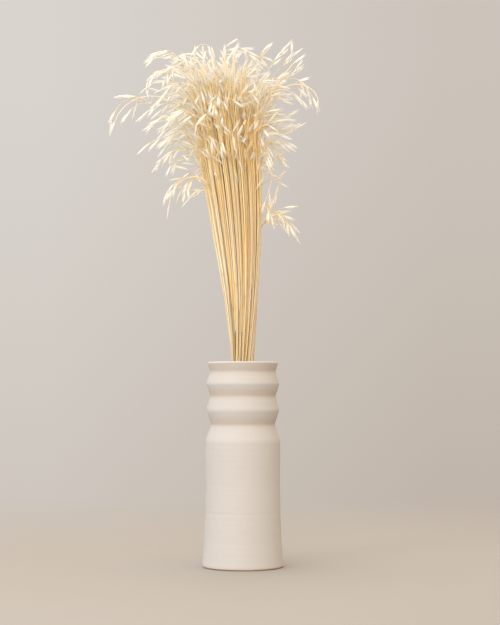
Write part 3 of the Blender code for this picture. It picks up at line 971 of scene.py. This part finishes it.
def addSpike(sheets, spike, tint, draw):
    wide = around(spike.direction, anySide(spike.direction), spike.roll)
    deep = cross(spike.direction, wide)
    width = glume["width"] / 2 * draw.uniform(*glume["widthVaries"])
    depth = glume["depth"] / 2 * draw.uniform(*glume["depthVaries"])
    gape = draw.uniform(*glume["open"])
    pick = draw.random()
    for sign, longer in ((1, 1.0), (-1, glume["second"] * draw.uniform(*glume["secondVaries"]))):
        keel = width * bell + gape * alongs**1.7
        edge = 0.08 * width * bell + gape * alongs**1.7
        out = sign * (edge + (keel - edge) * arc + 0.0003)
        points = (
            spike.neck
            + spike.direction * (alongs * spike.length * longer)[..., None]
            + wide * out[..., None]
            + deep * (depth * bell**0.85 * dip * sign)[..., None]
        )
        sheets.grid(points, False, glumeKind, acrosses, glume["along"], pick + 0.13 * sign, tint)
    radii = np.array(floret["bulge"]) * floret["radius"] * draw.uniform(*floret["radiusVaries"])
    centre = [spike.neck + spike.direction * spike.length * t + wide * 0.0003 for t in floret["along"]]
    sheets.line(centre, radii, floret["sides"], floretKind, floret["along"], pick, tint, fine=True)
    if spike.root is not None:
        rings = stalk["rings"]
        first = unit(spike.start * 1.1 + unit(spike.neck - spike.root))
        end = spike.neck + spike.direction * stalk["sunk"]
        points = bezier(spike.root, first, spike.direction, end, rings)
        radii = np.interp(np.linspace(0, 1, rings), stalk["stops"], stalk["radii"])
        along = np.linspace(*stalk["grain"], rings)
        sheets.line(points, radii, stalk["sides"], culmKind, along, pick, 0.1 + 0.5 * tint, fine=True)


culm = {
    "sides": 8,
    "rings": 24,  # below the panicle, without the knees' own
    "nodes": (0.120, 0.260, 0.410),  # the knees of a stem, which vary in height
    "kneeSpread": 0.035,
    "kneeRoom": (0.03, 0.02),  # above the ground and below the panicle
    "kneeRings": (-0.0035, -0.0015, 0.0, 0.0015, 0.0035),
    "kneeReach": 0.0018,
    "kneeSwell": 0.16,
    "sheath": 0.00042,
    "sheathLength": (0.05, 0.10),
    "tint": 1.2,
    "tintVaries": (-0.7, 0.5),
    "deepest": 0.9,
    "oliveTint": 0.98,
}
# the golden core of the head, partly the straw's own deeper tone and partly painted glow of light scattered
# inside the bunch: how far out it fades, and below which height
coreToneAndGlow = {"fade": 2.6, "radius": 0.038, "top": 0.715, "topFade": 0.07}
# where the photo shows one olive stem, and how far the straws before it keep away
oliveCulm = {"height": 0.33, "x": -0.0135, "clear": 0.004}


def culmRings(number, thickness, places, thin, wider, draw):
    # heights below the panicle, with the knees' own rings, then the panicle's line
    start = places[0][2]
    above, below = culm["kneeRoom"]
    knees = [height + draw.gauss(0, culm["kneeSpread"]) for height in culm["nodes"]]
    knees = [height for height in knees if above < height < start - below]
    heights = set(np.linspace(bunch["foot"], start, culm["rings"])[:-1])
    for knee in knees:
        heights |= {knee + shift for shift in culm["kneeRings"]}
    heights = np.array(sorted(heights))
    bends = np.array(bunch["bends"])
    radii = np.interp(heights, bends[:, 0], bends[:, 1]) * thickness
    marks = np.zeros(len(heights))
    for knee in knees:
        near = np.exp(-((heights - knee) / culm["kneeReach"]) ** 2)
        reach = draw.uniform(*culm["sheathLength"])
        radii += culm["sheath"] * ((heights > knee) & (heights < knee + reach))
        radii *= 1 + culm["kneeSwell"] * near
        marks = np.maximum(marks, near)
    points = [bunchPlace(number, height, wider) for height in heights] + list(places[2::3])
    shares = np.linspace(0, 1, len(places[2::3]))
    radii = np.concatenate((radii, (thin[0] + (thin[1] - thin[0]) * shares)))
    return points, radii, np.concatenate((marks, np.zeros(len(shares))))


def addCulm(sheets, number, thickness, places, thin, sides, wider, tint, draw):
    points, radii, marks = culmRings(number, thickness, places, thin, wider, draw)
    lengths = pathLengths(np.array(points))
    sheets.line(points, radii, sides, culmKind, lengths, draw.random(), tint, marks)


def depthInHead(place):
    # 1 in the golden core of the head, 0 at its pale outside: partly the straw's own tone, partly painted
    # glow of light scattered inside the bunch
    outness = math.hypot(*(place - bunchPlace(0, place[2]))[:2])
    inward = min(1.0, max(0.0, coreToneAndGlow["fade"] - outness / coreToneAndGlow["radius"]))
    return inward * min(1.0, max(0.0, (coreToneAndGlow["top"] - place[2]) / coreToneAndGlow["topFade"]))


def oliveMiss(stem):
    # small for a stem in front that passes the olive one's place
    x, y, _ = bunchPlace(stem.number, oliveCulm["height"])
    return 2 * abs(x - oliveCulm["x"]) + y


frontStems = [stem for stem in stems if bunchPlace(stem.number, oliveCulm["height"])[1] < 0]
oliveStem = min(frontStems, key=oliveMiss)
olivePlace = bunchPlace(oliveStem.number, oliveCulm["height"])


def culmTint(number, draw):
    # deeper golden in the bundle's middle, paler outside, with a random share: partly the straws' own tones
    # and partly painted glow of light that scatters between the stems
    outness = math.sqrt((number + 0.5) / bunch["stems"])
    return min(culm["deepest"], max(0.0, culm["tint"] - outness + draw.uniform(*culm["tintVaries"])))


def addAwn(sheets, number, outer, points, draw):
    thickest = awns["outerThickest"] if outer else awns["thickest"]
    paleShare = awns["outerPaleShare"] if outer else awns["paleShare"]
    radii = np.linspace(*awns["radius"], len(points)) * draw.uniform(awns["thinnest"], thickest)
    tint = culmTint(number, draw) * (awns["paleTint"] if draw.random() < paleShare else 1.0)
    sheets.line(points, radii, awns["sides"], culmKind, points[:, 2], draw.random(), tint)


def plantPiece(stem, made, materials):
    draw = random.Random(9000 + stem.number)
    sheets = Sheets()
    tint = culm["oliveTint"] if stem is oliveStem else culmTint(stem.number, draw)
    addCulm(sheets, stem.number, 1.0, stem.places, panicle["radius"], culm["sides"], 0j, tint, draw)
    tint = culmTint(made.number, draw)
    shape = tiller["thickness"], made.places, tiller["radius"], tiller["sides"], tiller["wider"]
    addCulm(sheets, made.number, *shape, tint, draw)
    for points in stem.lines + made.lines:
        radii = np.linspace(*sprays["radius"], len(points))
        # a spray's tint by its depth in the head: partly its own tone, partly painted glow
        shade = 0.1 + 0.6 * depthInHead(points[len(points) // 2])
        along = np.linspace(*stalk["grain"], len(points))
        sheets.line(points, radii, sprays["lineSides"], culmKind, along, draw.random(), shade, fine=True)
    for outer, points in stem.awns:
        x, y, _ = points[2]
        # none of the outer ones hides the olive stem
        if not (outer and y < 0 and abs(x - olivePlace[0]) < oliveCulm["clear"]):
            addAwn(sheets, stem.number, outer, points, draw)
    tips = [stem.tip, Spike(made.places[-1], made.directions[-1], draw.uniform(0, math.pi), tiller["tip"])]
    if not insideHead(tips[1].end()):
        tips.pop()
    for spike in stem.spikes + made.spikes + tips:
        # a spikelet's tint by its depth in the head: partly its own tone, partly painted glow
        depth = depthInHead(spike.neck + spike.direction * spike.length / 2)
        paler = glume["paleTint"] if draw.random() < glume["paleShare"] else 1.0
        addSpike(sheets, spike, depth * paler, draw)
    piece = sheets.piece(f"oatPlant_{stem.number + 1:02d}", materials)
    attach(piece, "root")
    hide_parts(f"oat_stem_{stem.number + 1:02d}")
    return piece


straw = {
    "pale": (0.83, 0.80, 0.70),
    "golden": (0.91, 0.70, 0.31),
    "amber": (0.97, 0.60, 0.15),
    "upper": (0.99, 0.87, 0.56),
    "olive": (0.25, 0.16, 0.05),
    "low": (0.49, 0.41, 0.22),
    "knee": (0.62, 0.36, 0.14),
    # by the tint, from pale outside to amber deep in the bunch: partly own tone, partly painted glow
    "tints": ((0.0, "pale"), (0.15, "pale"), (0.5, "golden"), (0.9, "amber"), (0.96, "golden")),
    # the colours that come in along a straw: from where, how fast, up to which share. The bright gold higher
    # up is painted glow that makes up for the head's shade on the stems; the low one makes the straw darker
    # and duller towards the bottom
    "heights": (
        (0.40, 6, 0.15, "golden"), (0.48, 8, 0.7, "upper"), (0.63, 12, 0.9, "pale"), (0.44, -7, 0.55, "low"),
    ),
    "roughness": 0.42,
    "glow": 0.38,
    "through": (0.99, 0.86, 0.53),
}
husk = {
    "cream": (0.82, 0.83, 0.835),
    # the golden of husks deep in the head: partly their own tone, partly painted glow
    "deep": (0.99, 0.82, 0.46),
    "vein": (0.88, 0.82, 0.69),
    "roughness": 0.55,
    "glow": 0.70,
    "through": (0.90, 0.90, 0.86),
    "floret": (0.97, 0.84, 0.58),
}


def strawMaterial():
    made, shader = newShader("ripeStraw")
    across, along, pick = shader.split(shader.attribute("grain", "Vector"))
    tint = shader.attribute("tint")
    mark = shader.attribute("mark")
    olive = shader.clamped((tint - 0.93) * 40) * shader.clamped((0.40 - along) * 30)
    colour = shader.ramp(tint, tuple((stop, straw[name]) for stop, name in straw["tints"]))
    for start, slope, most, name in straw["heights"]:
        colour = shader.past(along, start, slope, most, colour, straw[name])
    streaks = shader.noise(shader.joined(across * 9, along * 14, pick * 40))
    blotches = shader.noise(shader.joined(across, along * 5, pick * 60), detail=1.0)
    colour = shader.past(streaks, 0.5, 3, 1, colour, straw["pale"])
    colour = shader.past(streaks, 0.46, -6, 0.7, colour, straw["amber"])
    colour = shader.past(blotches, 0.56, 3, 1, colour, straw["amber"])
    colour = shader.blend(olive * 0.85, colour, straw["olive"])
    colour = shader.blend(mark * 0.5, colour, straw["knee"])
    normal = shader.bump(streaks, 0.0002, 0.5)
    skin = shader.skin(colour, straw["roughness"] + streaks * 0.2, normal, 1.45)
    glow = (tint * 0.30 + straw["glow"]) * (1 - olive * 0.9)
    shader.papery(skin, glow, straw["through"], normal)
    return made


def huskMaterial():
    made, shader = newShader("paperyGlume")
    across, along, pick = shader.split(shader.attribute("grain", "Vector"))
    tint = shader.attribute("tint")
    veins = shader.maths("SINE", across * 17)
    fade = 1 - along
    shade = shader.noise(shader.joined(across * 2, along * 3, pick * 50))
    # cream outside and golden deep in the head by the tint: partly the husks' own tone, partly painted glow
    # of light scattered inside the bunch
    colour = shader.blend(shader.clamped(tint * 0.85 + (shade - 0.5) * 0.5), husk["cream"], husk["deep"])
    colour = shader.blend(shader.clamped((veins - 0.2) * 0.28 * (0.35 + fade * 0.65)), colour, husk["vein"])
    colour = shader.past(fade, 0.82, 3, 1, colour, husk["vein"])
    normal = shader.bump(veins, 0.00012, 0.6)
    skin = shader.skin(colour, husk["roughness"], normal, 1.42)
    shader.papery(skin, husk["glow"], husk["through"], normal)
    return made


def floretMaterial():
    made, shader = newShader("goldenFloret")
    _, along, pick = shader.split(shader.attribute("grain", "Vector"))
    shade = shader.noise(shader.joined(pick * 50, along * 4, 0.0))
    colour = shader.blend(shade, husk["floret"], husk["cream"])
    shader.finish(shader.node("ShaderNodeBsdfPrincipled", None, {"Base Color": colour, "Roughness": 0.5}))
    return made


plantMaterials = [strawMaterial(), huskMaterial(), floretMaterial()]
plants = [plantPiece(stem, made, plantMaterials) for stem, made in zip(stems, tillers)]
print("plants made,", sum(len(piece.data.polygons) for piece in plants) * 2, "triangles")


# The vase, turned finer than its solid, with throwing lines
vase = {
    "height": 0.300,
    "floor": 0.007,
    "wall": 0.005,
    "segments": 128,
    "foot": ((0.0, 0.0), (0.0, 0.030), (0.0, 0.0566), (0.0004, 0.0582), (0.0012, 0.0592)),
    "rimDepth": 0.0022,  # rounded off above and below the outline
    # the lip's section: how far below the top, and how far out from the outline's end
    "lip": (
        (0.0011, 0.0001), (0.0003, -0.0006), (0.0, -0.0016), (0.0, -0.0034), (0.0004, -0.0044),
        (0.0014, -0.0050),
    ),
    # the inner corner: how far above the floor, and how far in from the wall
    "corner": ((0.0028, 0.0012), (0.0008, 0.0034), (0.0, 0.006)),
    "outside": (
        (0.0000, 0.0588), (0.0016, 0.0598), (0.0140, 0.0586), (0.0390, 0.0566), (0.0750, 0.0553),
        (0.1210, 0.0543), (0.1650, 0.0548), (0.1820, 0.0548), (0.1862, 0.0543), (0.1900, 0.0529),
        (0.2077, 0.0466), (0.2271, 0.0529), (0.2291, 0.0532), (0.2311, 0.0530), (0.2495, 0.0480),
        (0.2658, 0.0532), (0.2678, 0.0537), (0.2698, 0.0532), (0.2855, 0.0480), (0.2988, 0.0520),
    ),
    "soften": 0.0008,
    "rings": 230,
    "innerRings": 90,
    "lineHeight": 0.0031,
    "lineDepth": 0.00007,
    "ring": 0.080,  # a line that the turning left
    "ringReach": 0.0011,
    "creases": (0.2077, 0.2495, 0.2855),
    "clay": (0.402, 0.382, 0.364),
    "cloudClay": (0.3819, 0.35526, 0.3276),
    "gritClay": (0.3216, 0.3056, 0.2912),
    # painted shade for the faces above the creases
    "paintedCreaseShade": (0.38, 0.33, 0.285),
    "paintedLipLight": (0.51, 0.485, 0.45),
    "footClayAndShadow": (0.48, 0.28, 0.15),
}


def vaseOutside(height):
    # the outline with its corners softened
    heights, radii = zip(*vase["outside"])
    shifts = np.linspace(-2, 2, 9)
    weights = np.exp(-(shifts**2) / 2)
    stops = np.clip(height + shifts * vase["soften"], 0, heights[-1])
    return float((np.interp(stops, heights, radii) * weights).sum() / weights.sum())


def vasePiece():
    top, floor, rim = vase["height"], vase["floor"], vase["rimDepth"]
    profile = list(vase["foot"])
    for height in np.linspace(rim, top - rim, vase["rings"]):
        profile.append((height, vaseOutside(height)))
    lip = vaseOutside(top - rim)
    profile += [(top - drop, lip + out) for drop, out in vase["lip"]]
    for height in np.linspace(top - 0.004, floor + 0.006, vase["innerRings"]):
        profile.append((height, vaseOutside(height) - vase["wall"]))
    wall = profile[-1][1]
    profile += [(floor + rise, wall - inward) for rise, inward in vase["corner"]]
    profile += [(floor, 0.020), (floor, 0.0)]
    profile = np.array(profile)
    angles = np.arange(vase["segments"]) * 2 * math.pi / vase["segments"]
    heights = np.repeat(profile[:, :1], vase["segments"], axis=1)
    radii = np.repeat(profile[:, 1:], vase["segments"], axis=1)
    climb = 2 * math.pi * heights / vase["lineHeight"] + angles  # the lines climb as one spiral
    ring = np.exp(-(((heights - vase["ring"]) / vase["ringReach"]) ** 2))
    line = np.sin(climb) + 0.5 * np.sin(climb * 0.37 + 1) - 3 * ring
    lined = (radii > 0.03) & (heights > 0.004) & (heights < top - 0.003)
    radii = radii + line * lined * vase["lineDepth"]
    points = np.stack((radii * np.cos(angles), radii * np.sin(angles), heights), axis=-1)
    sheets = Sheets()
    sheets.grid(points, True, 0, 0.0, profile[:, 0], 0.0, 0.0)
    return sheets.piece("turnedVase", [vaseMaterial()])


def vaseMaterial():
    made, shader = newShader("ivoryStoneware")
    place = shader.place()
    x, y, z = shader.split(place)
    cloud = shader.noise(place, 14.0, 4.0)
    grit = shader.noise(place, 900.0, 2.0)
    lines = shader.noise(shader.joined(x * 4, y * 4, z * 520), detail=2.0)
    colour = shader.past(cloud, 0.4, 0.9, 1, vase["clay"], vase["cloudClay"])
    colour = shader.past(grit, 0.62, 1.4, 1, colour, vase["gritClay"])
    # painted shade: a darker, warmer band on the faces just above each crease, which turn down away from the
    # light
    for crease in vase["creases"]:
        offset = (z - crease - 0.004) / 0.010
        colour = shader.blend(shader.clamped(1 - offset * offset) * 0.8, colour, vase["paintedCreaseShade"])
    # painted light: the top of the lip is lighter, as it faces up to the light
    colour = shader.past(z, 0.2976, 900, 0.6, colour, vase["paintedLipLight"])
    # the bare brown clay of the foot, darkened along the bottom edge by a painted contact shadow
    colour = shader.blend(shader.clamped(1.4 - z / 0.0018), colour, vase["footClayAndShadow"])
    normal = shader.bump(lines * 0.7 + grit * 0.3, 0.0003, 0.35)
    shader.finish(shader.skin(colour, 0.62 + cloud * 0.14, normal, 1.45, 0.35))
    return made


vaseMade = vasePiece()
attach(vaseMade, "root")
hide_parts("vase")
print("vase turned,", len(vaseMade.data.polygons) * 2, "triangles")


# The tie: three turns of two-ply twine
twine = {
    "inner": 0.0172,
    "thickness": 0.0019,
    "turns": 3,
    "steps": 210,
    "height": 0.270,
    "reach": 0.0021,  # above and below that height
    "plies": 2,
    "plyTurn": 0.0042,
    "plyOffset": 0.00042,
    "plyRadius": 0.00052,
    "sides": 6,
    "dark": (0.36, 0.24, 0.13),
    "light": (0.62, 0.47, 0.30),
}


def twinePiece():
    sheets = Sheets()
    count = twine["turns"] * twine["steps"]
    t = np.arange(count + 1) / twine["steps"]
    radius = twine["inner"] + twine["thickness"] / 2
    angle = t * 2 * math.pi
    height = twine["height"] + (t - twine["turns"] / 2) * twine["thickness"]
    height = np.clip(height, twine["height"] - twine["reach"], twine["height"] + twine["reach"])
    out = np.stack((np.cos(angle), np.sin(angle), np.zeros(count + 1)), axis=1)
    middle = out * radius
    middle[:, 2] = height
    twist = angle * radius * 2 * math.pi / twine["plyTurn"]
    radii = np.full(count + 1, twine["plyRadius"])
    for ply in range(twine["plies"]):
        turn = (twist + ply * 2 * math.pi / twine["plies"])[:, None]
        points = middle + (out * np.cos(turn) - down * np.sin(turn)) * twine["plyOffset"]
        sheets.line(points, radii, twine["sides"], 0, t, ply / twine["plies"], 0.0)
    return sheets.piece("twineTie", [twineMaterial()])


def twineMaterial():
    made, shader = newShader("juteTwine")
    across, along, pick = shader.split(shader.attribute("grain", "Vector"))
    fibres = shader.noise(shader.joined(across * 6, along * 60, pick * 9))
    colour = shader.blend(fibres, twine["dark"], twine["light"])
    shader.finish(shader.skin(colour, 0.85, shader.bump(fibres, 0.0002, 0.6)))
    return made


tie = twinePiece()
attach(tie, "root")
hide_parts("tie")
print("twine tied")


# Camera, floor and light
studio = {
    "distance": 2.2,
    "eye": 0.250,
    "pitch": 1.6,
    "yaw": 0.272,
    "pixels": 1495.0,  # the focal length in the photo's pixels
    "height": 625,  # the photo's, in pixels
    "shift": 41.7,  # pixels
    "light": (0.694, 0.658, 0.617),
    "shade": (0.514, 0.445, 0.381),
    "floor": (0.300, 0.281, 0.259),
    "fade": (0.35, 1.5),  # metres from the vase, where the floor turns into the backdrop
    "cool": (1.0, 0.985, 0.96),
    "warm": (0.82, 0.66, 0.50),
    "ambient": 1.85,
    # name, place, target, size, power and colour
    "lights": (
        ("keyLight", (-1.7, -2.0, 1.5), (0, 0, 0.45), 1.3, 21, (1.0, 0.985, 0.97)),
        ("topLight", (-0.4, 0.2, 2.2), (0, 0, 0.5), 1.2, 3.5, (1.0, 0.985, 0.97)),
        ("fillLight", (-0.3, -2.6, 0.7), (0, 0, 0.5), 1.5, 38, (1.0, 0.97, 0.925)),
    ),
}


def placeCamera():
    data = bpy.data.cameras.new("camera")
    made = bpy.data.objects.new("camera", data)
    bpy.context.scene.collection.objects.link(made)
    data.sensor_width = 36
    data.lens = 36 * studio["pixels"] / studio["height"]
    data.shift_y = studio["shift"] / studio["height"]
    data.clip_end = 200
    made.location = (0, -studio["distance"], studio["eye"])
    made.rotation_euler = (math.radians(90 + studio["pitch"]), 0, math.radians(-studio["yaw"]))
    bpy.context.scene.camera = made


def backdropColour(shader, direction):
    # painted light and shade: paler to the left and above, as the light falls
    x, _, z = shader.split(direction)
    side = shader.clamped((x + 0.13) / 0.26)
    low = shader.clamped((0.22 - z) / 0.33) ** 1.3
    return shader.blend((side + low) * 0.5, studio["light"], studio["shade"])


def makeWorld():
    world = bpy.data.worlds.new("studio")
    bpy.context.scene.world = world
    world.use_nodes = True
    shader = Shader(world.node_tree)
    direction = shader.place("Generated")
    x, _, _ = shader.split(direction)
    backdrop = shader.node("ShaderNodeBackground", None, {0: backdropColour(shader, direction), 1: 1.0})
    glow = shader.blend(shader.clamped(x * 0.6 + 0.5), studio["cool"], studio["warm"])
    lit = shader.node("ShaderNodeBackground", None, {0: glow, 1: studio["ambient"]})
    camera = shader.node("ShaderNodeLightPath", output="Is Camera Ray")
    surface = shader.node("ShaderNodeMixShader", None, {0: camera, 1: lit, 2: backdrop})
    shader.finish(surface, "ShaderNodeOutputWorld")


def makeFloor():
    bpy.ops.mesh.primitive_circle_add(vertices=96, radius=40, fill_type="TRIFAN", location=(0, 0, -0.0002))
    floor = bpy.context.object
    floor.name = "studioFloor"
    made, shader = newShader("studioFloor")
    place = shader.place()
    away = shader.node("ShaderNodeVectorMath", {"operation": "LENGTH"}, {0: place}, 1)
    front = (0.0, -studio["distance"], studio["eye"])
    way = shader.node("ShaderNodeVectorMath", {"operation": "SUBTRACT"}, {0: place, 1: front})
    way = shader.node("ShaderNodeVectorMath", {"operation": "NORMALIZE"}, {0: way})
    near = shader.node("ShaderNodeBsdfPrincipled", None, {
        "Base Color": studio["floor"], "Roughness": 0.9, "Specular IOR Level": 0.2,
    })
    # far off, the floor glows with the backdrop's painted light and shade
    far = shader.node("ShaderNodeEmission", None, {0: backdropColour(shader, way), 1: 1.0})
    start, end = studio["fade"]
    fade = shader.clamped((away - start) / (end - start))
    shader.finish(shader.node("ShaderNodeMixShader", None, {0: fade, 1: near, 2: far}))
    floor.data.materials.append(made)


def addLight(name, place, target, size, power, colour):
    data = bpy.data.lights.new(name, "AREA")
    data.shape = "DISK"
    data.size = size
    data.energy = power
    data.color = colour
    made = bpy.data.objects.new(name, data)
    made.location = place
    made.rotation_euler = (Vector(target) - Vector(place)).to_track_quat("-Z", "Y").to_euler()
    made.visible_camera = False
    bpy.context.scene.collection.objects.link(made)


placeCamera()
makeWorld()
makeFloor()
for light in studio["lights"]:
    addLight(*light)
bpy.context.scene.view_settings.view_transform = "Standard"
print("studio set")
